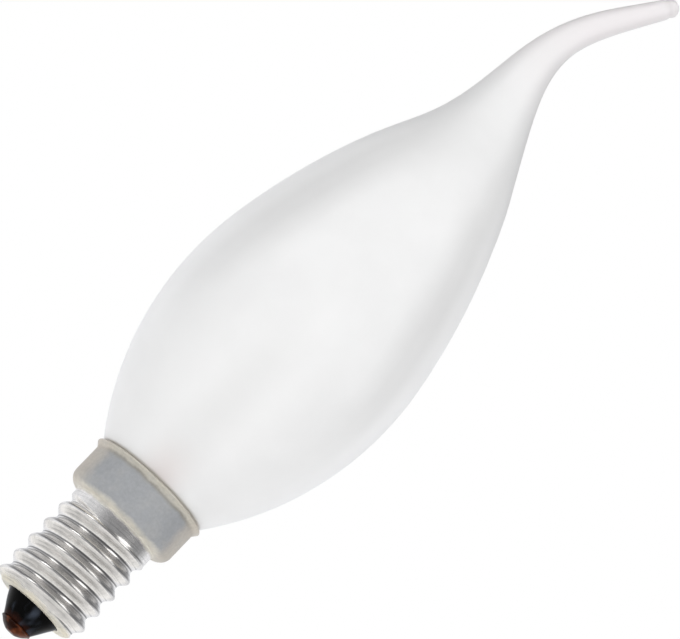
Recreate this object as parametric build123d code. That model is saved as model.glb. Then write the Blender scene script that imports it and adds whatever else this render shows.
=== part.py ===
from build123d import *

import os
from math import acos, cos, hypot, radians, sin, sqrt, tan

# A flame-shaped candle bulb with an S-bent tip on a small Edison screw cap.
# Millimetres, +Z from the cap to the tip, origin on the face of the end contact.
# The tip bends in the XZ plane and ends on the +X side.

# End contact
CONTACT_DIAMETER = 4.8
CONTACT_LAND_DIAMETER = 1.6
CONTACT_HEIGHT = 1.25
CONTACT_EDGE = 0.25
CONTACT_BULGE = 0.07
EYELET_DIAMETER = 1.4
EYELET_LENGTH = 1.2

# Insulator
BUTTON_DIAMETER = 4.6
BUTTON_HEIGHT = 3.05
PLUG_HEIGHT = 3.6
PLUG_BEVEL = 0.9
PLUG_CLEARANCE = 0.08

# Rolled shell of the cap
SHEET = 0.3
MOUTH_HOLE_DIAMETER = 8.5
BOTTOM_ROUND = 0.7
THREADED_HEIGHT = 15.55
CAP_NECK_DIAMETER = 13.3
CAP_NECK_HEIGHT = 1.3
SHOULDER_ROUND = 1.75
SHOULDER_FLAT = 0.1
SKIRT_DIAMETER = 17.0
SKIRT_HEIGHT = 5.6
RIM_DIAMETER = 18.2
RIM_RISE = 0.75
RIM_BEND = 0.6

# Thread of the shell
THREAD_DIAMETER = 13.7
THREAD_PITCH = 2.822
THREAD_DEPTH = 0.85
THREAD_CREST = 0.5
THREAD_BEVEL_DEPTH = 0.17
THREAD_BEVEL_WIDTH = 1.13
THREAD_BASE = 2.1
THREAD_SINK = 0.15
THREAD_START = 1.05
THREAD_FOOT = 0.3
THREAD_FOOT_RUN_OUT = 0.5
THREAD_TOP_RUN_OUT = 0.6

# Cement and solder
CEMENT_WALL = 1.35
CEMENT_DEPTH = 2.4
SOLDER_DIAMETER = 2.2
SOLDER_DROP = 0.55

# Blown envelope
GLASS_NECK_LIFT = 0.6
GLASS_NECK_ROUND = 1.0
GLASS_END_BEVEL = 1.0
MOUTH_GAP = 0.5
BELLY_DIAMETER = 35.0
BELLY_RISE = 27.3
BELLY_TURN = 8.3
FLANK_ARC_RADIUS = 94.6
TAIL_ARC_RADIUS = 64.4
TAIL_DIAMETER = 4.15
TAIL_TAPER = 3.14
BEND_RISE = 27.9

# The tail's centreline: sideways offset and rise above the start of the bend
TAIL_COURSE = [(-0.46, 10), (-1.35, 17), (-1.87, 23), (-1.36, 28), (0.5, 33), (3.38, 38), (6.74, 43.4)]
TAIL_END_LEAN = 32.2
TAIL_SECTIONS = 14
TIP_ROUND = 1.1

# Places that follow from the sizes above
crest_radius = THREAD_DIAMETER / 2
root_radius = crest_radius - THREAD_DEPTH
shell_bottom = CONTACT_HEIGHT + BUTTON_HEIGHT
shoulder = shell_bottom + THREADED_HEIGHT
neck_low = shoulder - CAP_NECK_HEIGHT
barrel_top = neck_low - (CAP_NECK_DIAMETER / 2 - root_radius)
shoulder_width = (SKIRT_DIAMETER - CAP_NECK_DIAMETER) / 2
shoulder_round = min(SHOULDER_ROUND, shoulder_width - SHOULDER_FLAT)
rim_corner = shoulder + SKIRT_HEIGHT
flare = (RIM_DIAMETER - SKIRT_DIAMETER) / 2
flare_length = hypot(flare, RIM_RISE)
rim_top = rim_corner + RIM_RISE + SHEET * flare / flare_length
rim_bore = RIM_DIAMETER / 2 - SHEET * RIM_RISE / flare_length
skirt_bore = SKIRT_DIAMETER / 2 - SHEET
glass_neck = skirt_bore - CEMENT_WALL
belly_radius = BELLY_DIAMETER / 2
belly = rim_top + BELLY_RISE
bend_start = belly + BEND_RISE


def turned(*lines):
    # A solid turned about Z from an outline of (radius, height)
    return revolve(Plane.XZ * make_face(lines), Axis.Z)


def end_contact():
    # A stamped plate with a shallow dome and a flat land, and an eyelet up into the insulator
    rim = CONTACT_DIAMETER / 2
    land = CONTACT_LAND_DIAMETER / 2
    eyelet = EYELET_DIAMETER / 2
    edge_height = CONTACT_HEIGHT - CONTACT_EDGE
    dome = SagittaArc((land, 0), (rim, edge_height), -CONTACT_BULGE)
    plate = Polyline(
        (rim, edge_height),
        (rim, CONTACT_HEIGHT),
        (eyelet, CONTACT_HEIGHT),
        (eyelet, CONTACT_HEIGHT + EYELET_LENGTH),
        (0, CONTACT_HEIGHT + EYELET_LENGTH),
        (0, 0),
        (land, 0),
    )
    return turned(dome, plate)


def insulator():
    # A cone of black glass below the shell, and a plug above that seats on the turned-in bottom
    eyelet = EYELET_DIAMETER / 2
    throat = MOUTH_HOLE_DIAMETER / 2 - PLUG_CLEARANCE
    plug = root_radius - SHEET - PLUG_CLEARANCE
    seat = shell_bottom + SHEET
    section = Polyline(
        (0, CONTACT_HEIGHT + EYELET_LENGTH),
        (eyelet, CONTACT_HEIGHT + EYELET_LENGTH),
        (eyelet, CONTACT_HEIGHT),
        (BUTTON_DIAMETER / 2, CONTACT_HEIGHT),
        (throat, shell_bottom),
        (throat, seat),
        (plug - PLUG_BEVEL, seat),
        (plug, seat + PLUG_BEVEL),
        (plug, seat + PLUG_HEIGHT),
        (0, seat + PLUG_HEIGHT),
        close=True,
    )
    return turned(section)


def thread_ridge():
    # One ridge carried up a right-hand helix and run out by cones into the bottom round and the neck
    sunk = root_radius - THREAD_SINK
    bevel_radius = crest_radius - THREAD_BEVEL_DEPTH
    slope = (THREAD_BASE - THREAD_BEVEL_WIDTH) / (bevel_radius - root_radius)
    base = THREAD_BASE + slope * THREAD_SINK
    ridge = Polyline(
        (sunk, -base / 2),
        (bevel_radius, -THREAD_BEVEL_WIDTH / 2),
        (crest_radius, -THREAD_CREST / 2),
        (crest_radius, THREAD_CREST / 2),
        (bevel_radius, THREAD_BEVEL_WIDTH / 2),
        (sunk, base / 2),
        close=True,
    )
    helix = Helix(THREAD_PITCH, shoulder - THREAD_START, root_radius)
    coil = sweep(Plane.XZ * make_face(ridge), path=helix, is_frenet=True)

    foot = shell_bottom + THREAD_FOOT
    bore = root_radius - SHEET
    clear = crest_radius + SHEET
    run_out = Polyline(
        (0, foot),
        (bore, foot),
        (clear, foot + THREAD_FOOT_RUN_OUT),
        (clear, neck_low - THREAD_TOP_RUN_OUT),
        (bore, neck_low),
        (0, neck_low),
        close=True,
    )
    return Pos(0, 0, THREAD_START) * coil & turned(run_out)


def cap_shell():
    # Rolled from one sheet: turned-in bottom, threaded barrel, neck, round shoulder, skirt and flared rim
    hole = MOUTH_HOLE_DIAMETER / 2
    neck = CAP_NECK_DIAMETER / 2
    skirt = SKIRT_DIAMETER / 2
    outside = FilletPolyline(
        (hole, shell_bottom),
        (root_radius, shell_bottom),
        (root_radius, barrel_top),
        (neck, neck_low),
        (neck, shoulder),
        (skirt, shoulder),
        (skirt, rim_corner),
        (RIM_DIAMETER / 2, rim_corner + RIM_RISE),
        radius=[BOTTOM_ROUND, 0, 0, 0, shoulder_round, RIM_BEND],
    )
    bottom_bevel = BOTTOM_ROUND - SHEET
    shoulder_bevel = shoulder_round - SHEET
    inside = Polyline(
        (rim_bore, rim_top),
        (skirt_bore, rim_corner),
        (skirt_bore, shoulder + shoulder_round),
        (skirt_bore - shoulder_bevel, shoulder + SHEET),
        (neck - SHEET, shoulder + SHEET),
        (neck - SHEET, neck_low),
        (root_radius - SHEET, barrel_top),
        (root_radius - SHEET, shell_bottom + BOTTOM_ROUND),
        (root_radius - SHEET - bottom_bevel, shell_bottom + SHEET),
        (hole, shell_bottom + SHEET),
    )
    sheet = turned(outside, Line(outside @ 1, inside @ 0), inside, Line(inside @ 1, outside @ 0))
    return sheet + thread_ridge()


def glass_arcs():
    # The outline's belly arc, long flank arc and hollow arc into the tail.
    # Each arc is (centre radius, centre height, arc radius, height where it ends).
    # The belly arc clears the rim's edge and the skirt's corner by the mouth gap.
    belly_arcs = []
    for bore, height in ((rim_bore, rim_top), (skirt_bore, rim_corner)):
        drop = belly_radius - (bore - MOUTH_GAP)
        belly_arcs.append(((belly - height) ** 2 + drop**2) / (2 * drop))
    belly_arc = min(belly_arcs)
    turn = radians(BELLY_TURN)
    taper = radians(TAIL_TAPER)
    belly_centre = belly_radius - belly_arc
    turn_radius = belly_centre + belly_arc * cos(turn)
    turn_height = belly + belly_arc * sin(turn)
    flank_centre = turn_radius - FLANK_ARC_RADIUS * cos(turn)
    flank_height = turn_height - FLANK_ARC_RADIUS * sin(turn)
    tail_centre = TAIL_DIAMETER / 2 + TAIL_ARC_RADIUS * cos(taper)
    lean = acos((tail_centre - flank_centre) / (FLANK_ARC_RADIUS + TAIL_ARC_RADIUS))
    flank_end = flank_height + FLANK_ARC_RADIUS * sin(lean)
    tail_height = flank_end + TAIL_ARC_RADIUS * sin(lean)
    tail_end = tail_height - TAIL_ARC_RADIUS * sin(taper)
    return [
        (belly_centre, belly, belly_arc, turn_height),
        (flank_centre, flank_height, FLANK_ARC_RADIUS, flank_end),
        (tail_centre, tail_height, TAIL_ARC_RADIUS, tail_end),
    ]


def glass_radius(height):
    # Radius of the glass at a height along its centreline, above the rim
    belly_arc, flank_arc, tail_arc = glass_arcs()
    for centre, centre_height, radius, end in (belly_arc, flank_arc):
        if height <= end:
            return centre + sqrt(radius**2 - (height - centre_height) ** 2)
    centre, centre_height, radius, end = tail_arc
    if height <= end:
        return centre - sqrt(radius**2 - (height - centre_height) ** 2)
    return TAIL_DIAMETER / 2 - (height - end) * tan(radians(TAIL_TAPER))


def glass_body():
    # Neck, belly and lower flank, turned from one outline
    belly_centre, belly_height, belly_arc, turn_height = glass_arcs()[0]
    neck_end = shoulder + SHEET + GLASS_NECK_LIFT
    neck_top = belly_height - sqrt(belly_arc**2 - (glass_neck - belly_centre) ** 2)
    flank_middle = (turn_height + bend_start) / 2
    neck_line = Polyline(
        (0, bend_start),
        (0, neck_end),
        (glass_neck - GLASS_END_BEVEL, neck_end),
        (glass_neck, neck_end + GLASS_END_BEVEL),
        (glass_neck, neck_top),
    )
    turn = (glass_radius(turn_height), turn_height)
    top = (glass_radius(bend_start), bend_start)
    belly_line = ThreePointArc((glass_neck, neck_top), (belly_radius, belly), turn)
    flank_line = ThreePointArc(turn, (glass_radius(flank_middle), flank_middle), top)
    outline = make_face([neck_line, belly_line, flank_line, Line(top, (0, bend_start))])
    waist = outline.vertices().sort_by_distance((glass_neck, neck_top))[0]
    return revolve(Plane.XZ * fillet(waist, GLASS_NECK_ROUND), Axis.Z)


def glass_tail():
    # The drawn-out tail, lofted through circles square to its bent course, with a fire-rounded tip
    lean = radians(TAIL_END_LEAN)
    course = Spline(
        (0, 0, bend_start),
        *[(side, 0, bend_start + rise) for side, rise in TAIL_COURSE],
        tangents=[(0, 0, 1), (sin(lean), 0, cos(lean))],
    )
    circles = []
    for step in range(TAIL_SECTIONS + 1):
        along = course.length * step / TAIL_SECTIONS
        place = course.position_at(along, position_mode=PositionMode.LENGTH)
        heading = course.tangent_at(along, position_mode=PositionMode.LENGTH)
        station = Plane(place, x_dir=Vector(0, 1, 0).cross(heading), z_dir=heading)
        circles.append(station * Circle(glass_radius(bend_start + along)))
    tail = loft(circles)
    tip = tail.faces().sort_by_distance(course @ 1)[0]
    return fillet(tip.edges(), TIP_ROUND)


def capping_cement():
    # A ring of cement between the glass neck and the skirt, from the shoulder's round upward
    low = shoulder + shoulder_round
    high = low + CEMENT_DEPTH
    return turned(
        Polyline((glass_neck, low), (skirt_bore, low), (skirt_bore, high), (glass_neck, high), close=True)
    )


def side_solder(shell):
    # A drop under the flare at the back, where the second lead comes over the rim
    skirt = SKIRT_DIAMETER / 2
    rim = RIM_DIAMETER / 2
    middle = rim_corner - SOLDER_DROP
    under = middle - SOLDER_DIAMETER
    over = middle + SOLDER_DIAMETER
    within = Polyline(
        (0, under),
        (skirt, under),
        (skirt, rim_corner),
        (rim, rim_corner + RIM_RISE),
        (rim, over),
        (0, over),
        close=True,
    )
    return Pos(0, skirt, middle) * Sphere(SOLDER_DIAMETER / 2) - turned(within) - shell


os.makedirs("parts", exist_ok=True)
shell = cap_shell()
pieces = {
    "glass_envelope": glass_body() + glass_tail(),
    "capping_cement": capping_cement(),
    "cap_shell": shell,
    "insulator": insulator(),
    "end_contact": end_contact(),
    "side_solder": side_solder(shell),
}
for name, piece in pieces.items():
    export_step(piece, f"parts/{name}.step")
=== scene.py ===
import math

import bpy
import numpy as np
from mathutils import Matrix, Vector


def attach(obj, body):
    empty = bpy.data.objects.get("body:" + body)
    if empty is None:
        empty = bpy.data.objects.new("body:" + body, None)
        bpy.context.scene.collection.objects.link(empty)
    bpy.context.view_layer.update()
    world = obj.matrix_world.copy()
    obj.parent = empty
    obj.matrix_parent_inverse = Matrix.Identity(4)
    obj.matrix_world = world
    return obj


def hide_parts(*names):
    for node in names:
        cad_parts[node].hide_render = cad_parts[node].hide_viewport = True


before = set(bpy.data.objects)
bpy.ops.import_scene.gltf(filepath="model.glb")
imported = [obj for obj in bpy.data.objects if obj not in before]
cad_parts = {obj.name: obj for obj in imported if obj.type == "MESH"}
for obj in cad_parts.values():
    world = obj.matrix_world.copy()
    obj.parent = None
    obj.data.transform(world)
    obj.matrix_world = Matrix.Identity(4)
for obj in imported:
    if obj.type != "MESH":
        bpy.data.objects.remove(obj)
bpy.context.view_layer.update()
print("frame loaded:", ", ".join(sorted(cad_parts)))

mm = 0.001


# Mesh helpers

arcStep = 0.13  # radians between the points of a rounded corner


def ringMesh(name, rings, firstPole=None, lastPole=None, loop=False):
    # rings[row, column] are points in mm: each row is a closed ring, rows follow the profile.
    # A pole closes an end with a fan; loop joins the last ring to the first.
    rows, columns = rings.shape[:2]
    points = rings.reshape(-1, 3)
    index = np.arange(rows * columns).reshape(rows, columns)
    lower = index if loop else index[:-1]
    upper = np.roll(index, -1, axis=0) if loop else index[1:]
    quads = np.stack([lower, np.roll(lower, -1, 1), np.roll(upper, -1, 1), upper], axis=-1)
    faces = quads.reshape(-1, 4).tolist()
    for pole, ring, ahead in ((firstPole, index[0], False), (lastPole, index[-1], True)):
        if pole is not None:
            tip = np.full(columns, len(points))
            points = np.vstack([points, [pole]])
            beside = np.roll(ring, -1)
            fan = [ring, beside, tip] if ahead else [beside, ring, tip]
            faces += np.stack(fan, axis=-1).tolist()
    mesh = bpy.data.meshes.new(name)
    mesh.from_pydata(points * mm, [], faces)
    mesh.polygons.foreach_set("use_smooth", np.ones(len(mesh.polygons), bool))
    mesh.validate()
    piece = bpy.data.objects.new(name, mesh)
    bpy.context.scene.collection.objects.link(piece)
    return piece


def roundedProfile(corners, closed):
    # Straight runs through (radius, height) corners, each corner replaced by an arc tangent to both runs.
    # A point of the arc is its centre plus the first and last radius, weighed by the sines of the swing
    # that is left and made.
    # A corner is (radius, height, rounding, spacing of points on the run after it).
    corners = np.array(corners, float)
    places = corners[:, :2]
    last = len(places) - 1
    arcs = []
    for i, rounding in enumerate(corners[:, 2]):
        here = places[i]
        arc = here[None]
        if closed or 0 < i < last:
            back = places[i - 1] - here
            ahead = places[(i + 1) % len(places)] - here
            back = back / np.linalg.norm(back)
            ahead = ahead / np.linalg.norm(ahead)
            inner = math.acos(np.clip(back @ ahead, -1, 1))
            bend = math.pi - inner
            reach = rounding / math.tan(inner / 2)
            centre = here + (back + ahead) / np.linalg.norm(back + ahead) * rounding / math.sin(inner / 2)
            start = here + back * reach - centre
            end = here + ahead * reach - centre
            swing = np.linspace(0, 1, max(3, int(bend / arcStep) + 2))[:, None]
            arc = np.sin((1 - swing) * bend) * start + np.sin(swing * bend) * end
            arc = centre + arc / math.sin(bend)
        arcs.append(arc)
    line = []
    for i, spacing in enumerate(corners[:, 3]):
        line.append(arcs[i])
        if closed or i < last:
            gap = arcs[(i + 1) % len(arcs)][0] - arcs[i][-1]
            steps = max(1, math.ceil(np.linalg.norm(gap) / spacing))
            line.append(arcs[i][-1] + gap * np.linspace(0, 1, steps + 1)[1:-1, None])
    return np.vstack(line)


def turnedRings(profile, columns, lift=None):
    # (radius, height) profile turned about Z; lift[row, column] is added to the radius.
    angle = np.linspace(0, 2 * np.pi, columns, endpoint=False)
    radius = profile[:, :1] + (0 if lift is None else lift)
    height = np.broadcast_to(profile[:, 1:], (len(profile), columns))
    return np.stack([radius * np.cos(angle), radius * np.sin(angle), height], axis=-1)


def smoothStep(value):
    # Runs from 0 to 1 and is level at both ends: three squares less two cubes.
    value = np.clip(value, 0, 1)
    return value * value * (3 - 2 * value)


# Blown glass with the drawn-out, bent tail

glassSizes = {
    "neckRadius": 6.85, "neckEnd": 20.75, "neckTop": 24.48, "neckReach": 40,
    "bellyRadius": 17.5, "bellyHeight": 53.687, "bellyArc": 45.365, "bellyTurn": 8.3,
    "flankArc": 94.6, "tailArc": 64.4, "tailRadius": 2.075, "tailTaper": 3.14,
    "bendStart": 81.587, "endLean": 32.2, "tipLength": 1.25,
    "nibCrease": 0.11, "creaseBefore": 0.3, "creaseWidth": 0.3,
    # sideways offset and rise of the tail's centreline above the start of the bend
    "course": [
        (0, 0), (-0.46, 10), (-1.35, 17), (-1.87, 23), (-1.36, 28), (0.5, 33), (3.38, 38), (6.74, 43.4),
    ],
    "courseSteps": 60, "neckRows": 8, "bellyRows": 130, "tailRows": 120, "tipRows": 14, "columns": 256,
}


def glassRadius(height, s):
    # Belly arc, then a longer flank arc, then a hollow arc, then a straight taper;
    # each meets the next at one slope.
    turn, taper = math.radians(s["bellyTurn"]), math.radians(s["tailTaper"])
    bellyCentre = s["bellyRadius"] - s["bellyArc"]
    turnHeight = s["bellyHeight"] + s["bellyArc"] * math.sin(turn)
    flankCentre = bellyCentre + (s["bellyArc"] - s["flankArc"]) * math.cos(turn)
    flankLevel = turnHeight - s["flankArc"] * math.sin(turn)
    tailCentre = s["tailRadius"] + s["tailArc"] * math.cos(taper)
    lean = math.acos((tailCentre - flankCentre) / (s["flankArc"] + s["tailArc"]))
    flankEnd = flankLevel + s["flankArc"] * math.sin(lean)
    tailLevel = flankEnd + s["tailArc"] * math.sin(lean)
    taperStart = tailLevel - s["tailArc"] * math.sin(taper)

    def rise(arc, level):
        # How far a circle of that radius stands out at a height: root of its square less the offset's.
        return np.sqrt(np.maximum(arc ** 2 - (height - level) ** 2, 0))

    belly = bellyCentre + rise(s["bellyArc"], s["bellyHeight"])
    flank = flankCentre + rise(s["flankArc"], flankLevel)
    hollow = tailCentre - rise(s["tailArc"], tailLevel)
    straight = s["tailRadius"] - (height - taperStart) * math.tan(taper)
    stages = [height < turnHeight, height < flankEnd, height < taperStart]
    return np.select(stages, [belly, flank, hollow], straight)


def tailCourse(s):
    # Clamped cubic through the course points: slopes at the points solve the equal-curvature equations.
    points = np.array(s["course"], float) + [0, s["bendStart"]]
    lean = math.radians(s["endLean"])
    step = np.linalg.norm(np.diff(points, axis=0), axis=1)
    chord = np.diff(points, axis=0) / step[:, None]
    count = len(points)
    matrix = np.eye(count)
    slopes = np.zeros((count, 2))
    slopes[0] = (0, 1)
    slopes[-1] = (math.sin(lean), math.cos(lean))
    inner = np.arange(1, count - 1)
    matrix[inner, inner - 1] = step[1:]
    matrix[inner, inner] = 2 * (step[:-1] + step[1:])
    matrix[inner, inner + 1] = step[:-1]
    slopes[inner] = 3 * (step[1:, None] * chord[:-1] + step[:-1, None] * chord[1:])
    slopes = np.linalg.solve(matrix, slopes)
    t = np.linspace(0, 1, s["courseSteps"], endpoint=False)[:, None, None]
    a, b = points[:-1], points[1:]
    slopeA, slopeB = slopes[:-1] * step[:, None], slopes[1:] * step[:, None]
    curve = (2 * t**3 - 3 * t**2 + 1) * a + (t**3 - 2 * t**2 + t) * slopeA
    curve = curve + (3 * t**2 - 2 * t**3) * b + (t**3 - t**2) * slopeB
    return np.vstack([curve.transpose(1, 0, 2).reshape(-1, 2), points[-1:]])


def makeGlass(s):
    # Circles square to the centreline, radius from glassRadius along its length.
    # The tip is a quarter ellipse behind a shallow crease, where the tail was melted off.
    course = tailCourse(s)
    strides = np.linalg.norm(np.diff(course, axis=0), axis=1)
    lengths = s["bendStart"] + np.concatenate([[0], np.cumsum(strides)])
    end = lengths[-1]
    roundStart = end - s["tipLength"]
    neck = np.linspace(s["neckEnd"], s["neckTop"], s["neckRows"])
    belly = np.linspace(s["neckTop"], s["bendStart"], s["bellyRows"])[1:]
    tail = np.linspace(s["bendStart"], roundStart, s["tailRows"])[1:]
    tip = roundStart + s["tipLength"] * np.sin(np.linspace(0, np.pi / 2, s["tipRows"])[1:-1])
    along = np.concatenate([neck, belly, tail, tip])
    radius = glassRadius(np.minimum(along, roundStart), s)
    # the neck in the cap is straight, and low on the belly nothing is narrower than it
    least = s["neckRadius"] * (along < s["neckReach"])
    radius = np.where(along <= s["neckTop"], s["neckRadius"], np.maximum(radius, least))
    past = np.maximum(along - roundStart, 0) / s["tipLength"]
    fromCrease = (along - roundStart + s["creaseBefore"]) / s["creaseWidth"]
    crease = 1 - s["nibCrease"] * np.exp(-fromCrease**2)
    radius = radius * np.sqrt(1 - past**2) * crease
    side = np.interp(along, lengths, course[:, 0], left=0)
    rise = np.where(along <= s["bendStart"], along, np.interp(along, lengths, course[:, 1]))
    headSide = np.gradient(side, along)
    headRise = np.sqrt(np.maximum(1 - headSide**2, 0))
    angle = np.linspace(0, 2 * np.pi, s["columns"], endpoint=False)
    out = radius[:, None] * np.cos(angle)
    rings = np.stack([
        side[:, None] + out * headRise[:, None],
        radius[:, None] * np.sin(angle),
        rise[:, None] - out * headSide[:, None],
    ], axis=-1)
    foot = (0, 0, s["neckEnd"])
    nib = (course[-1, 0], 0, course[-1, 1])
    return ringMesh("glassEnvelope", rings, firstPole=foot, lastPole=nib)


glass = makeGlass(glassSizes)
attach(glass, "root")
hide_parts("glass_envelope")
print("glass envelope:", len(glass.data.polygons), "faces")


# Rolled sheet cap: bottom, threaded barrel, neck, skirt and flared rim

capSizes = {
    "outside": [
        (4.25, 4.3, 0.1, 0.3), (6.0, 4.3, 0.7, 0.075), (6.0, 18.0, 0.45, 0.1), (6.65, 18.75, 0.45, 0.15),
        (6.65, 19.85, 0.25, 0.3), (8.5, 19.85, 1.55, 0.3), (8.5, 25.45, 0.6, 0.2), (9.1, 26.2, 0.14, 0.1),
    ],
    "inside": [
        (8.866, 26.387, 0.13, 0.2), (8.2, 25.45, 0.5, 0.5), (8.2, 21.6, 0.3, 0.5), (6.75, 20.15, 0.2, 0.5),
        (6.35, 20.15, 0.15, 0.5), (6.35, 18.85, 0.2, 0.5), (5.7, 18.1, 0.2, 0.8), (5.7, 5.0, 0.15, 0.5),
        (5.3, 4.6, 0.15, 0.5), (4.25, 4.6, 0.1, 0.2),
    ],
    "pitch": 2.822, "depth": 0.87, "crestAtFront": 1.05, "crestPower": 1.2, "barrel": 6.0,
    "foot": 4.55, "footFade": 0.5, "top": 19.0, "topFade": 1.8,
    # the neck's swell: where it starts, how far it goes and over what height
    "neckStart": 18.0, "neckSwell": 0.65, "neckRise": 0.75, "joinPower": 4,
    # on one side, in degrees, it starts lower by some mm: in full near that side, then less up to an end,
    # both in degrees from it
    "runOut": {"side": 315, "sag": 1.0, "full": 45, "end": 135},
    "columns": 228,
}


def threadPhase(height, angle, s):
    # Right-hand thread: distance in mm along the axis from the nearest crest, below it negative.
    turns = (height - s["crestAtFront"]) / s["pitch"] - angle / (2 * np.pi)
    return (turns - np.round(turns)) * s["pitch"]


def threadLift(phase, s):
    # Rolled sheet springs back to a wave: a cosine across one pitch, raised to a power that narrows
    # the crest.
    wave = 0.5 + 0.5 * np.cos(2 * np.pi * phase / s["pitch"])
    return s["depth"] * wave ** s["crestPower"]


def makeCap(s):
    # Profile turned about Z, with the thread lifted off the barrel and faded at the bottom and the neck.
    # Where the neck swells, the surface is the rounded larger of the two: fourth root of the sum of
    # their fourth powers.
    profile = roundedProfile(s["outside"] + s["inside"], True)
    outer = (np.arange(len(profile)) < np.argmax(profile[:, 0]))[:, None]  # rows outside, up to the rim
    height = profile[:, 1:]
    angle = np.linspace(0, 2 * np.pi, s["columns"], endpoint=False)
    fade = smoothStep((height - s["foot"]) / s["footFade"])
    fade = fade * smoothStep((s["top"] - height) / s["topFade"]) * outer
    phase = threadPhase(height, angle[None], s)
    swell = np.maximum(profile[:, :1] - s["barrel"], 0)
    # the groove runs out into the neck on one side, so there the neck swells earlier
    out = s["runOut"]
    aside = np.abs((np.degrees(angle) - out["side"] + 180) % 360 - 180)
    lower = out["sag"] * smoothStep((out["end"] - aside) / (out["end"] - out["full"]))
    start = s["neckStart"] - lower[None]
    early = s["neckSwell"] * smoothStep((height - start) / s["neckRise"]) * outer
    neck = np.maximum(swell, early) ** s["joinPower"]
    ridge = (threadLift(phase, s) * fade) ** s["joinPower"]
    lift = (neck + ridge) ** (1 / s["joinPower"]) - swell
    piece = ringMesh("capShell", turnedRings(profile, s["columns"], lift), loop=True)
    # groove is 0 on the crest and 1 in the root, for the painted root shade; across runs over the ridge,
    # for the streaks
    groove = np.abs(phase) / (s["pitch"] / 2) * fade
    across = np.where(fade > 0, phase, height + 0 * phase)
    for name, values in (("groove", groove), ("across", across)):
        layer = piece.data.attributes.new(name, "FLOAT", "POINT")
        layer.data.foreach_set("value", values.astype(np.float32).ravel())
    return piece


cap = makeCap(capSizes)
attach(cap, "root")
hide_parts("cap_shell")
print("cap shell:", len(cap.data.polygons), "faces")


# Black glass insulator and the copper end contact

insulatorSizes = {
    "profile": [
        (0.02, 2.45, 0, 0.3), (0.7, 2.45, 0.05, 0.3), (0.7, 1.25, 0.05, 0.3), (2.3, 1.25, 0.14, 0.1),
        (4.17, 4.3, 0.2, 0.1), (4.17, 4.6, 0.05, 0.2), (4.72, 4.6, 0.1, 0.3), (5.62, 5.5, 0.3, 0.4),
        (5.62, 8.2, 0.3, 0.5), (0.02, 8.2, 0, 0.5),
    ],
    "wave": 0.035, "waveTop": 4.3, "columns": 120,
}

contactSizes = {
    "profile": [
        (0.02, 0.0, 0, 0.15), (0.8, 0.0, 0.7, 0.12), (1.62, 0.42, 1.6, 0.12), (2.28, 0.98, 0.2, 0.08),
        (2.4, 1.04, 0.04, 0.08), (2.4, 1.22, 0.05, 0.1), (2.2, 1.25, 0.05, 0.3), (0.7, 1.25, 0.05, 0.3),
        (0.7, 2.45, 0.05, 0.2), (0.02, 2.45, 0, 0.2),
    ],
    "wave": 0.03, "waveTop": 1.2, "columns": 120,
}

# each ripple's share, waves round the axis, radians per mm of height and shift
rippleSizes = {"ripples": [(0.6, 3, 1.9, 0), (0.4, 5, -2.6, 1)], "fade": 0.6, "core": 0.75, "sunkFrom": 1.4}


def unevenness(profile, s, r):
    # Two crossed sine ripples, as poured glass and pressed sheet have, fading out towards the hidden end
    # and the core; outside the core half a wave is taken off, so that no crest stands proud.
    angle = np.linspace(0, 2 * np.pi, s["columns"], endpoint=False)[None]
    radius, height = profile[:, :1], profile[:, 1:]
    ripple = sum(
        share * np.sin(waves * angle + climb * height + shift)
        for share, waves, climb, shift in r["ripples"])
    shown = smoothStep((s["waveTop"] - height) / r["fade"]) * smoothStep((radius - r["core"]) / r["fade"])
    return s["wave"] * (ripple * shown - 0.5 * (radius > r["sunkFrom"]))


def makeTurned(name, s):
    # Profile turned about Z with the unevenness added, poles on the axis at both ends.
    profile = roundedProfile(s["profile"], False)
    rings = turnedRings(profile, s["columns"], unevenness(profile, s, rippleSizes))
    first, last = s["profile"][0][1], s["profile"][-1][1]
    return ringMesh(name, rings, firstPole=(0, 0, first), lastPole=(0, 0, last))


insulator = makeTurned("blackGlassButton", insulatorSizes)
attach(insulator, "root")
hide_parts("insulator")

contact = makeTurned("copperContact", contactSizes)
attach(contact, "root")
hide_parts("end_contact")
print("insulator and contact:", len(insulator.data.polygons) + len(contact.data.polygons), "faces")


# Solder drop at the back, under the rim

solderSizes = {
    "place": (0, 8.45, 24.85), "reach": (1.05, 1.0, 1.05), "rows": 36, "columns": 64,
    "swells": (0.05, 0.04), "shrink": 0.06, "poleRise": 0.01,
}


def makeSolder(s):
    # Ellipsoid by polar angle and turn, with a few low swells where the drop froze.
    polar = np.linspace(0, np.pi, s["rows"] + 2)[1:-1, None]
    turn = np.linspace(0, 2 * np.pi, s["columns"], endpoint=False)[None]
    wide, tall = s["swells"]
    swell = 1 + wide * np.sin(2 * turn + 1) * np.sin(polar) + tall * np.sin(3 * polar + turn) - s["shrink"]
    rings = np.stack([
        s["place"][0] + s["reach"][0] * swell * np.sin(polar) * np.cos(turn),
        s["place"][1] + s["reach"][1] * swell * np.sin(polar) * np.sin(turn),
        s["place"][2] - s["reach"][2] * swell * np.cos(polar) + 0 * turn,
    ], axis=-1)
    low = (s["place"][0], s["place"][1], rings[0, :, 2].mean() - s["poleRise"])
    high = (s["place"][0], s["place"][1], rings[-1, :, 2].mean() + s["poleRise"])
    return ringMesh("solderDrop", rings, firstPole=low, lastPole=high)


solder = makeSolder(solderSizes)
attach(solder, "root")
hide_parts("side_solder")
print("solder drop:", len(solder.data.polygons), "faces")


# Materials

def toLinear(hexColour):
    # sRGB hex to linear RGBA
    channels = np.array([int(hexColour[i:i + 2], 16) for i in (1, 3, 5)]) / 255
    linear = np.where(channels <= 0.04045, channels / 12.92, ((channels + 0.055) / 1.055) ** 2.4)
    return (*linear.tolist(), 1.0)


def grey(value):
    # one level in all channels, for the stops of a ramp
    return (value, value, value, 1.0)


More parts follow.
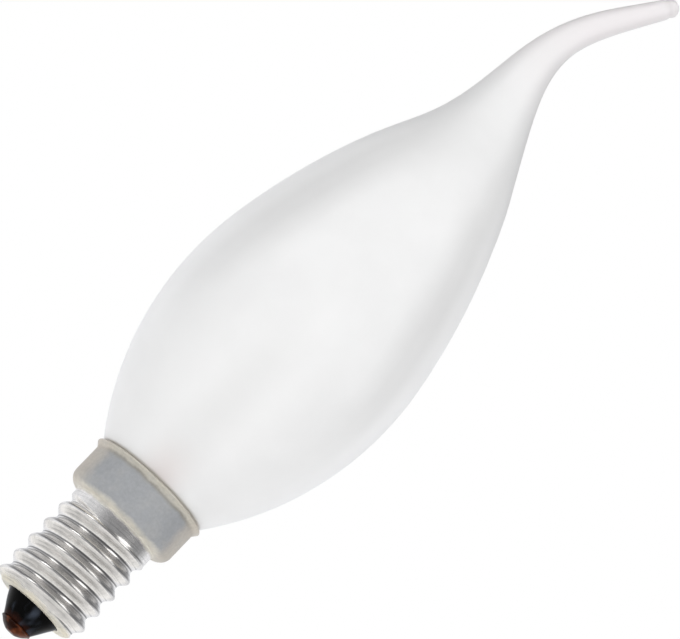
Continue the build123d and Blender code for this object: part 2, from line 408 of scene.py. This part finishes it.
def addNode(tree, kind, inputs=None, **settings):
    # a node with its settings; an input is a value, or a socket to link from
    node = tree.nodes.new(kind)
    for key, value in settings.items():
        setattr(node, key, value)
    for key, value in (inputs or {}).items():
        if isinstance(value, bpy.types.NodeSocket):
            tree.links.new(value, node.inputs[key])
        else:
            node.inputs[key].default_value = value
    return node


def startMaterial(name):
    # one Principled surface, and the socket of the object coordinates
    material = bpy.data.materials.new(name)
    material.use_nodes = True
    tree = material.node_tree
    tree.nodes.clear()
    output = addNode(tree, "ShaderNodeOutputMaterial")
    surface = addNode(tree, "ShaderNodeBsdfPrincipled")
    tree.links.new(surface.outputs[0], output.inputs["Surface"])
    place = addNode(tree, "ShaderNodeTexCoord").outputs["Object"]
    return material, tree, surface, place


def fillRamp(node, stops):
    # stops are (position, linear colour)
    ramp = node.color_ramp
    while len(ramp.elements) > 1:
        ramp.elements.remove(ramp.elements[-1])
    ramp.elements[0].position, ramp.elements[0].color = stops[0]
    for position, colour in stops[1:]:
        ramp.elements.new(position).color = colour
    return node


# Soda-lime glass, acid frosted inside: milky white, satin outside; painted shade of the inner stem above
# the cap
frost = {
    "white": "#f5f5f5", "haze": "#f2f2f2", "cloudMm": 9.0, "cloudLimits": (0.4, 0.7),
    # the painted stem shade is warm near the cap and grey further up
    "stemShade": "#e2dbd9", "stemGrey": "#dddddc", "stemTurnMm": (29.0, 33.0), "stemHalfMm": 5.0,
    # how strong the painted stem shade is at each height in mm, within a span, its end ragged by some mm
    "stem": [(26, 1.0), (29, 0.6), (33, 0.3), (36.5, 0.36), (40, 0.28), (46, 0.24), (54, 0.0)],
    "stemSpanMm": (20.0, 60.0), "stemRaggedMm": 4.0,
    # painted slant shade: how bright the glass is painted as it is seen from square on, 0, to edge on, 1;
    # dark in a band, brighter again at the outline
    "slant": [(0.22, 1.0), (0.37, 0.9), (0.49, 0.9), (0.62, 0.98), (0.74, 1.0)],
    # the share of that painted shade at each height in mm: little of it near the cap
    "slantShade": [(35, 0.0), (42, 0.1), (54, 0.75), (68, 1.0)], "slantShadeSpanMm": 100.0,
    # the same painted slant shade on the drawn tail, deeper there
    "tailSlantShade": [(0.16, 1.0), (0.45, 0.92), (0.75, 0.86)], "tailMm": (75.0, 92.0),
    # the drawn end is a little rosy
    "rose": "#f3eff0", "roseMm": (96.0, 114.0),
    # how bright the melted nib is by the distance from its end in mm: clear, then a faint painted shade
    # ring at its crease
    "nib": [(1.3, 1.0), (1.9, 0.93), (2.7, 1.0)], "nibSpanMm": 4.0,
    "mouthShade": "#dad5cc", "mouthMm": (26.5, 26.9),
    "ior": 1.52, "roughness": (0.3, 0.4), "gloss": 0.3,
    "sheen": 0.06, "sheenRoughness": 0.25,  # light caught in the wall brightens the outline
}


def frostedGlass(f, sizes):
    material, tree, surface, place = startMaterial("frostedSodaLimeGlass")
    parts = addNode(tree, "ShaderNodeSeparateXYZ", {"Vector": place}).outputs
    cloud = addNode(tree, "ShaderNodeTexNoise", {
        "Vector": place, "Scale": 1 / (f["cloudMm"] * mm), "Detail": 2.0, "Roughness": 0.5}).outputs["Fac"]
    # painted shade of the inner stem, which stands on the axis: widest at the middle of the front and back
    aside = addNode(tree, "ShaderNodeMath", {0: parts["X"]}, operation="ABSOLUTE").outputs[0]
    across = addNode(tree, "ShaderNodeMapRange", {
        "Value": aside, "From Min": 0.0, "From Max": f["stemHalfMm"] * mm, "To Min": 1.0, "To Max": 0.0},
        interpolation_type="SMOOTHSTEP").outputs[0]
    low, high = f["stemSpanMm"]
    halfRagged = f["stemRaggedMm"] / 2
    ragged = addNode(tree, "ShaderNodeMath", {
        0: cloud, 1: f["stemRaggedMm"] * mm, 2: parts["Z"]}, operation="MULTIPLY_ADD").outputs[0]
    tall = addNode(tree, "ShaderNodeMapRange", {
        "Value": ragged,
        "From Min": (low + halfRagged) * mm, "From Max": (high + halfRagged) * mm}).outputs[0]
    stops = [((z - low) / (high - low), grey(strength)) for z, strength in f["stem"]]
    along = fillRamp(addNode(tree, "ShaderNodeValToRGB", {"Fac": tall}), stops).outputs[0]
    share = addNode(tree, "ShaderNodeMath", {0: across, 1: along}, operation="MULTIPLY").outputs[0]
    upper = addNode(tree, "ShaderNodeMapRange", {
        "Value": parts["Z"],
        "From Min": f["stemTurnMm"][0] * mm, "From Max": f["stemTurnMm"][1] * mm}).outputs[0]
    shade = addNode(tree, "ShaderNodeMix", {
        0: upper, 6: toLinear(f["stemShade"]), 7: toLinear(f["stemGrey"])}, data_type="RGBA").outputs[2]
    # the acid bites unevenly, so the white is a little cloudy
    bitten = addNode(tree, "ShaderNodeMapRange", {
        "Value": cloud, "From Min": f["cloudLimits"][0], "From Max": f["cloudLimits"][1]}).outputs[0]
    white = addNode(tree, "ShaderNodeMix", {
        0: bitten, 6: toLinear(f["white"]), 7: toLinear(f["haze"])}, data_type="RGBA").outputs[2]
    drawn = addNode(tree, "ShaderNodeMapRange", {
        "Value": parts["Z"], "From Min": f["roseMm"][0] * mm, "From Max": f["roseMm"][1] * mm}).outputs[0]
    white = addNode(tree, "ShaderNodeMix", {
        0: drawn, 6: white, 7: toLinear(f["rose"])}, data_type="RGBA").outputs[2]
    tint = addNode(tree, "ShaderNodeMix", {0: share, 6: white, 7: shade}, data_type="RGBA").outputs[2]
    # a painted shade line where the rim shades the glass it leaves
    mouth = addNode(tree, "ShaderNodeMapRange", {
        "Value": parts["Z"], "From Min": f["mouthMm"][0] * mm, "From Max": f["mouthMm"][1] * mm,
        "To Min": 1.0, "To Max": 0.0}, interpolation_type="SMOOTHSTEP").outputs[0]
    tint = addNode(tree, "ShaderNodeMix", {
        0: mouth, 6: tint, 7: toLinear(f["mouthShade"])}, data_type="RGBA").outputs[2]
    # painted slant shade: a darker band where the glass is seen on a slant, and a painted brightening
    # near the outline
    slant = addNode(tree, "ShaderNodeLayerWeight", {"Blend": 0.5}).outputs["Facing"]
    stops = [(turn, grey(level)) for turn, level in f["slant"]]
    slantShade = fillRamp(addNode(tree, "ShaderNodeValToRGB", {"Fac": slant}), stops).outputs[0]
    stops = [(turn, grey(level)) for turn, level in f["tailSlantShade"]]
    tailSlantShadeRamp = fillRamp(addNode(tree, "ShaderNodeValToRGB", {"Fac": slant}), stops).outputs[0]
    tail = addNode(tree, "ShaderNodeMapRange", {
        "Value": parts["Z"], "From Min": f["tailMm"][0] * mm, "From Max": f["tailMm"][1] * mm}).outputs[0]
    wall = addNode(tree, "ShaderNodeMix", {0: tail, 6: slantShade, 7: tailSlantShadeRamp}, data_type="RGBA").outputs[2]
    level = addNode(tree, "ShaderNodeMapRange", {
        "Value": parts["Z"], "From Max": f["slantShadeSpanMm"] * mm}).outputs[0]
    stops = [(z / f["slantShadeSpanMm"], grey(strength)) for z, strength in f["slantShade"]]
    slantShadeShare = fillRamp(addNode(tree, "ShaderNodeValToRGB", {"Fac": level}), stops).outputs[0]
    # the nib was melted clear, so the painted slant shade ends before it
    side, rise = sizes["course"][-1]
    nibEnd = (side * mm, 0, (sizes["bendStart"] + rise) * mm)
    away = addNode(tree, "ShaderNodeVectorMath", {
        0: place, 1: nibEnd}, operation="DISTANCE").outputs["Value"]
    frosted = addNode(tree, "ShaderNodeMapRange", {
        "Value": away, "From Min": f["nib"][0][0] * mm, "From Max": f["nib"][-1][0] * mm}).outputs[0]
    slantShadeShare = addNode(tree, "ShaderNodeMath", {0: slantShadeShare, 1: frosted}, operation="MULTIPLY").outputs[0]
    tint = addNode(tree, "ShaderNodeMix", {
        0: slantShadeShare, 6: tint, 7: wall}, data_type="RGBA", blend_type="MULTIPLY").outputs[2]
    # the painted shade ring at the nib's crease
    near = addNode(tree, "ShaderNodeMapRange", {"Value": away, "From Max": f["nibSpanMm"] * mm}).outputs[0]
    stops = [(length / f["nibSpanMm"], grey(strength)) for length, strength in f["nib"]]
    ring = fillRamp(addNode(tree, "ShaderNodeValToRGB", {"Fac": near}), stops).outputs[0]
    tint = addNode(tree, "ShaderNodeMix", {
        0: 1.0, 6: tint, 7: ring}, data_type="RGBA", blend_type="MULTIPLY").outputs[2]
    rough = addNode(tree, "ShaderNodeMapRange", {
        "Value": cloud, "To Min": f["roughness"][0], "To Max": f["roughness"][1]})
    tree.links.new(tint, surface.inputs["Base Color"])
    tree.links.new(rough.outputs[0], surface.inputs["Roughness"])
    surface.inputs["IOR"].default_value = f["ior"]
    surface.inputs["Specular IOR Level"].default_value = f["gloss"]
    surface.inputs["Sheen Weight"].default_value = f["sheen"]
    surface.inputs["Sheen Roughness"].default_value = f["sheenRoughness"]
    return material


# Aluminium sheet rolled over formers: mirror bright on the thread with streaks along it,
# etched on the skirt so that it scatters like paint and warmer on the bent edges;
# painted shade in the thread's roots and in the crease under the rim
sheet = {
    "bright": "#f2efeb", "satin": "#a8aaad", "edge": "#e5e0d4", "bottom": "#e6dfcc", "crease": "#9b9890",
    "rim": "#cec9bd",
    # height in mm, colour, roughness, share of bare metal; within a span, the borders ragged by some mm
    "zones": [
        (4.5, "bottom", 0.4, 0.4), (5.0, "bright", 0.22, 1.0), (19.3, "bright", 0.22, 1.0),
        (19.6, "edge", 0.36, 0.4), (19.9, "edge", 0.42, 0.3), (20.5, "satin", 0.55, 0.3),
        # the crease zone is a painted shade line in the bend under the rim
        (25.0, "satin", 0.55, 0.3), (25.42, "crease", 0.5, 0.3), (25.72, "rim", 0.4, 0.4),
    ],
    "spanMm": 30.0, "raggedMm": 0.8, "smudgeMm": 2.2, "roughSpread": (-0.05, 0.07),
    # half the width of the satin panels, where they start and end to give way to the sides
    "side": "#c8bfb2", "panelMm": (5.9, 8.0), "panelRaggedMm": 2.0, "sideShare": 0.8,
    "rubbed": "#bdbdba", "rubbedLimits": (0.45, 0.75), "rubbedShare": 0.45,
    "grainMm": 0.45, "grainLimits": (0.3, 0.7), "grain": (0.94, 1.06),
    "streak": "#a09e9c", "streakMm": 0.3, "slowMm": 7.0, "streakLimits": (0.5, 0.68),
    "neckMm": (17.4, 18.6), "neckStreak": 0.3, "relief": 0.25, "reliefMm": 0.06,
    # the colour of the painted shade in the thread's roots
    "root": "#8d8b89", "rootShadeLimits": (0.88, 0.97),
}


def rolledAluminium(f):
    material, tree, surface, place = startMaterial("rolledAluminiumSheet")
    parts = addNode(tree, "ShaderNodeSeparateXYZ", {"Vector": place}).outputs
    smudge = addNode(tree, "ShaderNodeTexNoise", {
        "Vector": place, "Scale": 1 / (f["smudgeMm"] * mm), "Detail": 4.0, "Roughness": 0.6}).outputs["Fac"]
    # the zones are blended along the cap, each border a little ragged
    halfRagged = f["raggedMm"] / 2
    ragged = addNode(tree, "ShaderNodeMath", {
        0: smudge, 1: f["raggedMm"] * mm, 2: parts["Z"]}, operation="MULTIPLY_ADD").outputs[0]
    along = addNode(tree, "ShaderNodeMapRange", {
        "Value": ragged,
        "From Min": halfRagged * mm, "From Max": (f["spanMm"] + halfRagged) * mm}).outputs[0]
    colours = [(z / f["spanMm"], toLinear(f[name])) for z, name, rough, metal in f["zones"]]
    finish = [(z / f["spanMm"], grey(rough)) for z, name, rough, metal in f["zones"]]
    bare = [(z / f["spanMm"], grey(metal)) for z, name, rough, metal in f["zones"]]
    colour = fillRamp(addNode(tree, "ShaderNodeValToRGB", {"Fac": along}), colours).outputs[0]
    rough = fillRamp(addNode(tree, "ShaderNodeValToRGB", {"Fac": along}), finish).outputs[0]
    metal = fillRamp(addNode(tree, "ShaderNodeValToRGB", {"Fac": along}), bare).outputs[0]
    # the satin panels at the front and back end in warmer sides
    panelStart, panelEnd = [edge + f["panelRaggedMm"] / 2 for edge in f["panelMm"]]
    aside = addNode(tree, "ShaderNodeMath", {0: parts["X"]}, operation="ABSOLUTE").outputs[0]
    beside = addNode(tree, "ShaderNodeMath", {
        0: smudge, 1: f["panelRaggedMm"] * mm, 2: aside}, operation="MULTIPLY_ADD").outputs[0]
    sides = addNode(tree, "ShaderNodeMapRange", {
        "Value": beside, "From Min": panelStart * mm, "From Max": panelEnd * mm, "To Max": f["sideShare"]},
        interpolation_type="SMOOTHSTEP").outputs[0]
    colour = addNode(tree, "ShaderNodeMix", {
        0: sides, 6: colour, 7: toLinear(f["side"])}, data_type="RGBA").outputs[2]
    # handling leaves paler spots on the etched sheet
    spots = addNode(tree, "ShaderNodeMapRange", {
        "Value": smudge, "From Min": f["rubbedLimits"][0], "From Max": f["rubbedLimits"][1],
        "To Max": f["rubbedShare"]}).outputs[0]
    colour = addNode(tree, "ShaderNodeMix", {
        0: spots, 6: colour, 7: toLinear(f["rubbed"])}, data_type="RGBA").outputs[2]
    # the etch leaves a fine grain, drawn coarser than the real one so that it shows
    grain = addNode(tree, "ShaderNodeTexNoise", {
        "Vector": place, "Scale": 1 / (f["grainMm"] * mm), "Detail": 2.0, "Roughness": 0.6}).outputs["Fac"]
    speckle = addNode(tree, "ShaderNodeMapRange", {
        "Value": grain, "From Min": f["grainLimits"][0], "From Max": f["grainLimits"][1],
        "To Min": f["grain"][0], "To Max": f["grain"][1]}).outputs[0]
    colour = addNode(tree, "ShaderNodeMix", {
        0: 1.0, 6: colour, 7: speckle}, data_type="RGBA", blend_type="MULTIPLY").outputs[2]
    # rolling streaks follow the ridge: noise that is fine across it and slow along it
    across = addNode(tree, "ShaderNodeAttribute", attribute_name="across").outputs["Fac"]
    fine = addNode(tree, "ShaderNodeMath", {
        0: across, 1: 1 / f["streakMm"]}, operation="MULTIPLY").outputs[0]
    slow = addNode(tree, "ShaderNodeVectorMath", {
        0: place, "Scale": 1 / (f["slowMm"] * mm)}, operation="SCALE").outputs[0]
    slowParts = addNode(tree, "ShaderNodeSeparateXYZ", {"Vector": slow}).outputs
    course = addNode(tree, "ShaderNodeCombineXYZ", {
        "X": slowParts["X"], "Y": slowParts["Y"], "Z": fine}).outputs[0]
    streaks = addNode(tree, "ShaderNodeTexNoise", {
        "Vector": course, "Scale": 1.0, "Detail": 2.0, "Roughness": 0.5}).outputs["Fac"]
    dull = addNode(tree, "ShaderNodeMapRange", {
        "Value": streaks, "From Min": f["streakLimits"][0], "From Max": f["streakLimits"][1]},
        interpolation_type="SMOOTHSTEP").outputs[0]
    # the neck was drawn over a plain former, so its streaks are fainter
    rolled = addNode(tree, "ShaderNodeMapRange", {
        "Value": parts["Z"], "From Min": f["neckMm"][0] * mm, "From Max": f["neckMm"][1] * mm,
        "To Min": 1.0, "To Max": f["neckStreak"]}).outputs[0]
    dull = addNode(tree, "ShaderNodeMath", {0: dull, 1: rolled}, operation="MULTIPLY").outputs[0]
    onThread = addNode(tree, "ShaderNodeMath", {0: dull, 1: metal}, operation="MULTIPLY").outputs[0]
    colour = addNode(tree, "ShaderNodeMix", {
        0: onThread, 6: colour, 7: toLinear(f["streak"])}, data_type="RGBA").outputs[2]
    # painted shade in the thread's roots
    groove = addNode(tree, "ShaderNodeAttribute", attribute_name="groove").outputs["Fac"]
    rootShade = addNode(tree, "ShaderNodeMapRange", {
        "Value": groove, "From Min": f["rootShadeLimits"][0], "From Max": f["rootShadeLimits"][1]},
        interpolation_type="SMOOTHSTEP").outputs[0]
    colour = addNode(tree, "ShaderNodeMix", {
        0: rootShade, 6: colour, 7: toLinear(f["root"])}, data_type="RGBA").outputs[2]
    spread = addNode(tree, "ShaderNodeMapRange", {
        "Value": smudge, "To Min": f["roughSpread"][0], "To Max": f["roughSpread"][1]}).outputs[0]
    uneven = addNode(tree, "ShaderNodeMath", {0: rough, 1: spread}, operation="ADD").outputs[0]
    relief = addNode(tree, "ShaderNodeMath", {0: rolled, 1: f["relief"]}, operation="MULTIPLY").outputs[0]
    bump = addNode(tree, "ShaderNodeBump", {
        "Height": streaks, "Strength": relief, "Distance": f["reliefMm"] * mm})
    tree.links.new(colour, surface.inputs["Base Color"])
    tree.links.new(uneven, surface.inputs["Roughness"])
    tree.links.new(metal, surface.inputs["Metallic"])
    tree.links.new(bump.outputs[0], surface.inputs["Normal"])
    return material


# Black lead glass, poured and fire polished: deep gloss, dull scuffs, browned by the heat near the contact;
# painted bluish-grey sheen patches
button = {
    # the brown gives way to black within a span of heights in mm, its border ragged by some mm
    "black": "#020202", "brown": "#2c130b", "brownMm": (1.2, 4.6), "brownStops": (0.1, 0.4),
    "raggedMm": 0.8,
    # the glass ran down the cone, so its scuffs and the painted sheen patches are drawn out in that
    # direction
    "scuffAndSheen": "#3a404b", "scuffMm": 1.3, "drawnOut": (1, 1, 0.3), "sheenLimits": (0.5, 0.86),
    "shine": [(0.45, 0.1), (0.68, 0.38)], "ior": 1.5, "gloss": 0.06, "relief": 0.15, "reliefMm": 0.08,
}


def blackGlass(f):
    material, tree, surface, place = startMaterial("blackPouredGlass")
    height = addNode(tree, "ShaderNodeSeparateXYZ", {"Vector": place}).outputs["Z"]
    drawn = addNode(tree, "ShaderNodeVectorMath", {
        0: place, 1: f["drawnOut"]}, operation="MULTIPLY").outputs[0]
    scuffAndSheen = addNode(tree, "ShaderNodeTexNoise", {
        "Vector": drawn, "Scale": 1 / (f["scuffMm"] * mm), "Detail": 1.0, "Roughness": 0.4}).outputs["Fac"]
    ragged = addNode(tree, "ShaderNodeMath", {
        0: scuffAndSheen, 1: f["raggedMm"] * mm, 2: height}, operation="MULTIPLY_ADD").outputs[0]
    along = addNode(tree, "ShaderNodeMapRange", {
        "Value": ragged, "From Min": f["brownMm"][0] * mm, "From Max": f["brownMm"][1] * mm}).outputs[0]
    stops = list(zip(f["brownStops"], (toLinear(f["brown"]), toLinear(f["black"]))))
    colour = fillRamp(addNode(tree, "ShaderNodeValToRGB", {"Fac": along}), stops).outputs[0]
    # bluish-grey patches where the noise is high: scuffs, and painted sheen
    paintedSheen = addNode(tree, "ShaderNodeMapRange", {
        "Value": scuffAndSheen, "From Min": f["sheenLimits"][0], "From Max": f["sheenLimits"][1]},
        interpolation_type="SMOOTHSTEP").outputs[0]
    colour = addNode(tree, "ShaderNodeMix", {
        0: paintedSheen, 6: colour, 7: toLinear(f["scuffAndSheen"])}, data_type="RGBA").outputs[2]
    stops = [(level, grey(rough)) for level, rough in f["shine"]]
    rough = fillRamp(addNode(tree, "ShaderNodeValToRGB", {"Fac": scuffAndSheen}), stops)
    bump = addNode(tree, "ShaderNodeBump", {
        "Height": scuffAndSheen, "Strength": f["relief"], "Distance": f["reliefMm"] * mm})
    tree.links.new(colour, surface.inputs["Base Color"])
    tree.links.new(rough.outputs[0], surface.inputs["Roughness"])
    tree.links.new(bump.outputs[0], surface.inputs["Normal"])
    surface.inputs["IOR"].default_value = f["ior"]
    surface.inputs["Specular IOR Level"].default_value = f["gloss"]
    return material


def mottledFinish(name, f):
    # noise of one real size runs the colour from the first tone to the second, and the relief with it;
    # a pair of roughnesses runs with it too, and a single one is the same all over
    material, tree, surface, place = startMaterial(name)
    mottle = addNode(tree, "ShaderNodeTexNoise", {
        "Vector": place, "Scale": 1 / (f["mottleMm"] * mm),
        "Detail": f["detail"], "Roughness": f["fineness"]}).outputs["Fac"]
    stops = [(level, toLinear(tone)) for level, tone in f["tones"]]
    colour = fillRamp(addNode(tree, "ShaderNodeValToRGB", {"Fac": mottle}), stops)
    bump = addNode(tree, "ShaderNodeBump", {
        "Height": mottle, "Strength": f["relief"], "Distance": f["reliefMm"] * mm})
    tree.links.new(colour.outputs[0], surface.inputs["Base Color"])
    tree.links.new(bump.outputs[0], surface.inputs["Normal"])
    if isinstance(f["roughness"], tuple):
        low, high = f["roughness"]
        rough = addNode(tree, "ShaderNodeMapRange", {"Value": mottle, "To Min": low, "To Max": high})
        tree.links.new(rough.outputs[0], surface.inputs["Roughness"])
    else:
        surface.inputs["Roughness"].default_value = f["roughness"]
    surface.inputs["Metallic"].default_value = f["metallic"]
    return material


# Copper plate, stamped, darkened by age: brown film with brighter rubbed spots
plate = {
    "tones": [(0.5, "#2c150d"), (0.72, "#8a4a2c")], "mottleMm": 2.0, "detail": 5.0, "fineness": 0.6,
    "roughness": (0.5, 0.25), "metallic": 1.0, "relief": 0.2, "reliefMm": 0.06,
}

# Tin solder, frozen drop: soft grey gloss with a crazed skin
tin = {
    "tones": [(0.4, "#8b8c8e"), (0.62, "#b9babb")], "mottleMm": 0.5, "detail": 4.0, "fineness": 0.6,
    "roughness": (0.45, 0.28), "metallic": 1.0, "relief": 0.25, "reliefMm": 0.05,
}

# Baked capping cement: matt, sandy, seen only as a dark line inside the rim
cement = {
    "tones": [(0.35, "#8f8066"), (0.65, "#b8a98d")], "mottleMm": 0.6, "detail": 6.0, "fineness": 0.7,
    "roughness": 0.9, "metallic": 0.0, "relief": 0.5, "reliefMm": 0.1,
}

finishes = [
    (glass, frostedGlass(frost, glassSizes)),
    (cap, rolledAluminium(sheet)),
    (insulator, blackGlass(button)),
    (contact, mottledFinish("tarnishedCopperPlate", plate)),
    (solder, mottledFinish("frozenTinSolder", tin)),
    (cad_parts["capping_cement"], mottledFinish("bakedCappingCement", cement)),
]
for piece, material in finishes:
    piece.data.materials.clear()
    piece.data.materials.append(material)
print("materials:", ", ".join(material.name for piece, material in finishes))


# Studio in metres: pale floor, white surround, soft lights and a canopy with a dark ceiling

studio = {
    "middle": (0, 0, 0.062), "ambient": 0.47,
    "floorLevel": -0.14, "floorSize": 6.0, "floorColour": "#eeeeee", "floorRoughness": 0.8,
    "floorWhite": (0.16, 0.45),  # distances from the middle between which the floor goes over to white
    "canopy": {
        "radius": 0.72, "turn": (-180, 180), "rise": (-26, 88), "columns": 121, "rows": 42,
        "colour": "#f1f3f8",
        # its level at each turn from the camera's side towards +X, in degrees
        "levels": [
            (-88, 1.0), (-62, 0.75), (-45, 0.6), (-30, 0.46), (-12, 0.35), (0, 0.33), (68, 0.3), (97, 0.36),
            (125, 1.0),
        ],
        # and nowhere above these at each rise in degrees: the ceiling is dark all round
        "ceiling": [(17, 1.0), (26, 0.36), (42, 0.23), (60, 0.2), (88, 0.18)],
        # how many degrees lower the ceiling hangs at each turn
        "sag": [(-150, 0), (-120, 8), (-85, 8), (-50, 0)],
    },
    # name, turn, rise in degrees, distance, width, height, power, seen in gloss
    "lights": [
        ("frontFill", 0, 8, 0.6, 0.3, 0.3, 0.82, False),
        ("topFill", 7, 50, 0.6, 0.3, 0.3, 0.94, False),
        ("leftStrip", -51, 29, 0.62, 0.2, 0.34, 0.4, True),
        ("rightStrip", 54, 40, 0.62, 0.32, 0.62, 0.92, True),
        ("leftRim", -133, 0, 0.9, 0.35, 0.6, 2.9, False),
        ("rightRim", 133, 0, 0.9, 0.35, 0.6, 2.9, False),
        ("lightTable", 0, -90, 0.19, 0.9, 0.9, 0.75, False),
    ],
}
middle = Vector(studio["middle"])


def addSheet(name, corners, faces):
    # a piece of the studio, which is no part of the object
    mesh = bpy.data.meshes.new(name)
    mesh.from_pydata(corners, [], faces)
    sheetPiece = bpy.data.objects.new(name, mesh)
    bpy.context.scene.collection.objects.link(sheetPiece)
    return sheetPiece


def outwards(turn, rise):
    # unit vector from the object, turned from the camera's side towards +X and raised, in degrees
    turn, rise = math.radians(turn), math.radians(rise)
    return Vector((math.sin(turn) * math.cos(rise), -math.cos(turn) * math.cos(rise), math.sin(rise)))


def addArea(name, turn, rise, distance, width, height, power, glossy):
    # a flat lamp that faces the object
    outward = outwards(turn, rise)
    light = bpy.data.lights.new(name, "AREA")
    light.shape, light.size, light.size_y, light.energy = "RECTANGLE", width, height, power
    lamp = bpy.data.objects.new(name, light)
    lamp.location = middle + outward * distance
    lamp.rotation_euler = outward.to_track_quat("Z", "Y").to_euler()
    lamp.visible_camera = False
    lamp.visible_glossy = glossy  # the strips draw highlights and the rest give the plain light
    lamp.visible_diffuse = not glossy
    bpy.context.scene.collection.objects.link(lamp)


def addCanopy(s):
    # Part of a sphere round the object, by turn and rise, that only polished surfaces show;
    # its level is the smaller of those by turn and by rise.
    turn = np.linspace(*s["turn"], s["columns"])
    tilt = np.linspace(*s["rise"], s["rows"])
    rise = np.radians(tilt)[:, None]
    side, back = np.sin(np.radians(turn))[None], -np.cos(np.radians(turn))[None]
    points = np.stack([side * np.cos(rise), back * np.cos(rise), np.sin(rise) + 0 * side], axis=-1)
    points = np.array(middle) + s["radius"] * points.reshape(-1, 3)
    index = np.arange(len(points)).reshape(s["rows"], s["columns"])
    faces = np.stack([index[:-1, :-1], index[:-1, 1:], index[1:, 1:], index[1:, :-1]], axis=-1)
    canopy = addSheet("darkCanopy", points, faces.reshape(-1, 4).tolist())
    canopy.visible_camera = False
    canopy.visible_diffuse = False
    canopy.visible_shadow = False
    levels, ceiling, sag = np.array(s["levels"]), np.array(s["ceiling"]), np.array(s["sag"])
    byTurn = np.interp(turn, levels[:, 0], levels[:, 1])[None]
    lower = np.interp(turn, sag[:, 0], sag[:, 1])[None]
    byRise = np.interp(tilt[:, None] + lower, ceiling[:, 0], ceiling[:, 1])
    layer = canopy.data.attributes.new("level", "FLOAT", "POINT")
    layer.data.foreach_set("value", np.minimum(byTurn, byRise).astype(np.float32).ravel())
    material, tree, surface, place = startMaterial("darkCloth")
    surface.inputs["Base Color"].default_value = (0, 0, 0, 1)
    surface.inputs["Specular IOR Level"].default_value = 0
    surface.inputs["Emission Color"].default_value = toLinear(s["colour"])
    level = addNode(tree, "ShaderNodeAttribute", attribute_name="level").outputs["Fac"]
    tree.links.new(level, surface.inputs["Emission Strength"])
    canopy.data.materials.append(material)


def seenRay(tree):
    # 1 for rays from the camera and for those mirrored or passed on by the object
    path = addNode(tree, "ShaderNodeLightPath").outputs
    seen = addNode(tree, "ShaderNodeMath", {
        0: path["Is Camera Ray"], 1: path["Is Glossy Ray"]}, operation="MAXIMUM").outputs[0]
    return addNode(tree, "ShaderNodeMath", {
        0: seen, 1: path["Is Transmission Ray"]}, operation="MAXIMUM").outputs[0]


def whiteFloor(s):
    # pale round the object, where its shadow falls, and plain white further out
    material, tree, surface, place = startMaterial("paleFloor")
    surface.inputs["Base Color"].default_value = toLinear(s["floorColour"])
    surface.inputs["Roughness"].default_value = s["floorRoughness"]
    reach = addNode(tree, "ShaderNodeVectorMath", {0: place}, operation="LENGTH").outputs["Value"]
    far = addNode(tree, "ShaderNodeMapRange", {
        "Value": reach, "From Min": s["floorWhite"][0], "From Max": s["floorWhite"][1]},
        interpolation_type="SMOOTHSTEP").outputs[0]
    share = addNode(tree, "ShaderNodeMath", {0: far, 1: seenRay(tree)}, operation="MULTIPLY").outputs[0]
    glow = addNode(tree, "ShaderNodeEmission", {"Color": (1, 1, 1, 1), "Strength": 1.0})
    mixed = addNode(tree, "ShaderNodeMixShader", {0: share, 1: surface.outputs[0], 2: glow.outputs[0]})
    # from below the floor is clear, so that the cap's end can be seen
    below = addNode(tree, "ShaderNodeNewGeometry").outputs["Backfacing"]
    clear = addNode(tree, "ShaderNodeBsdfTransparent")
    sided = addNode(tree, "ShaderNodeMixShader", {0: below, 1: mixed.outputs[0], 2: clear.outputs[0]})
    output = next(node for node in tree.nodes if node.type == "OUTPUT_MATERIAL")
    tree.links.new(sided.outputs[0], output.inputs["Surface"])
    return material


half = studio["floorSize"] / 2
level = studio["floorLevel"]
corners = [(-half, -half, level), (half, -half, level), (half, half, level), (-half, half, level)]
floor = addSheet("floor", corners, [(0, 1, 2, 3)])
floor.data.materials.append(whiteFloor(studio))

addCanopy(studio["canopy"])
for light in studio["lights"]:
    addArea(*light)

world = bpy.data.worlds.new("whiteStudio")
world.use_nodes = True
bpy.context.scene.world = world
sky = world.node_tree
sky.nodes.clear()
dim = addNode(sky, "ShaderNodeBackground", {"Color": (1, 1, 1, 1), "Strength": studio["ambient"]})
white = addNode(sky, "ShaderNodeBackground", {"Color": (1, 1, 1, 1), "Strength": 1.0})
both = addNode(sky, "ShaderNodeMixShader", {0: seenRay(sky), 1: dim.outputs[0], 2: white.outputs[0]})
addNode(sky, "ShaderNodeOutputWorld", {"Surface": both.outputs[0]})
bpy.context.scene.view_settings.view_transform = "Standard"
print("studio set")


# Camera in mm and degrees: below the bulb's middle, looking up a little, turned so that the bulb lies
# across the picture

view = {
    "target": (2.891, 0, 60.294), "distance": 500, "rise": 13.4, "slant": 46.244,
    "lens": 199.2, "sensor": 36, "nearest": 10,
}
rise, slant = math.radians(view["rise"]), math.radians(view["slant"])
ahead = Vector((0, math.cos(rise), math.sin(rise)))
upright = Vector((0, -math.sin(rise), math.cos(rise)))
across = Vector((1, 0, 0))
right = across * math.sin(slant) + upright * math.cos(slant)
up = upright * math.sin(slant) - across * math.cos(slant)
camera = bpy.data.objects.new("camera", bpy.data.cameras.new("camera"))
camera.data.lens = view["lens"]
camera.data.sensor_width = view["sensor"]
camera.data.sensor_fit = "HORIZONTAL"
camera.data.clip_start = view["nearest"] * mm
place = (Vector(view["target"]) - ahead * view["distance"]) * mm
camera.matrix_world = Matrix.Translation(place) @ Matrix((right, up, -ahead)).transposed().to_4x4()
bpy.context.scene.collection.objects.link(camera)
bpy.context.scene.camera = camera
print("camera at", [round(c, 4) for c in place])
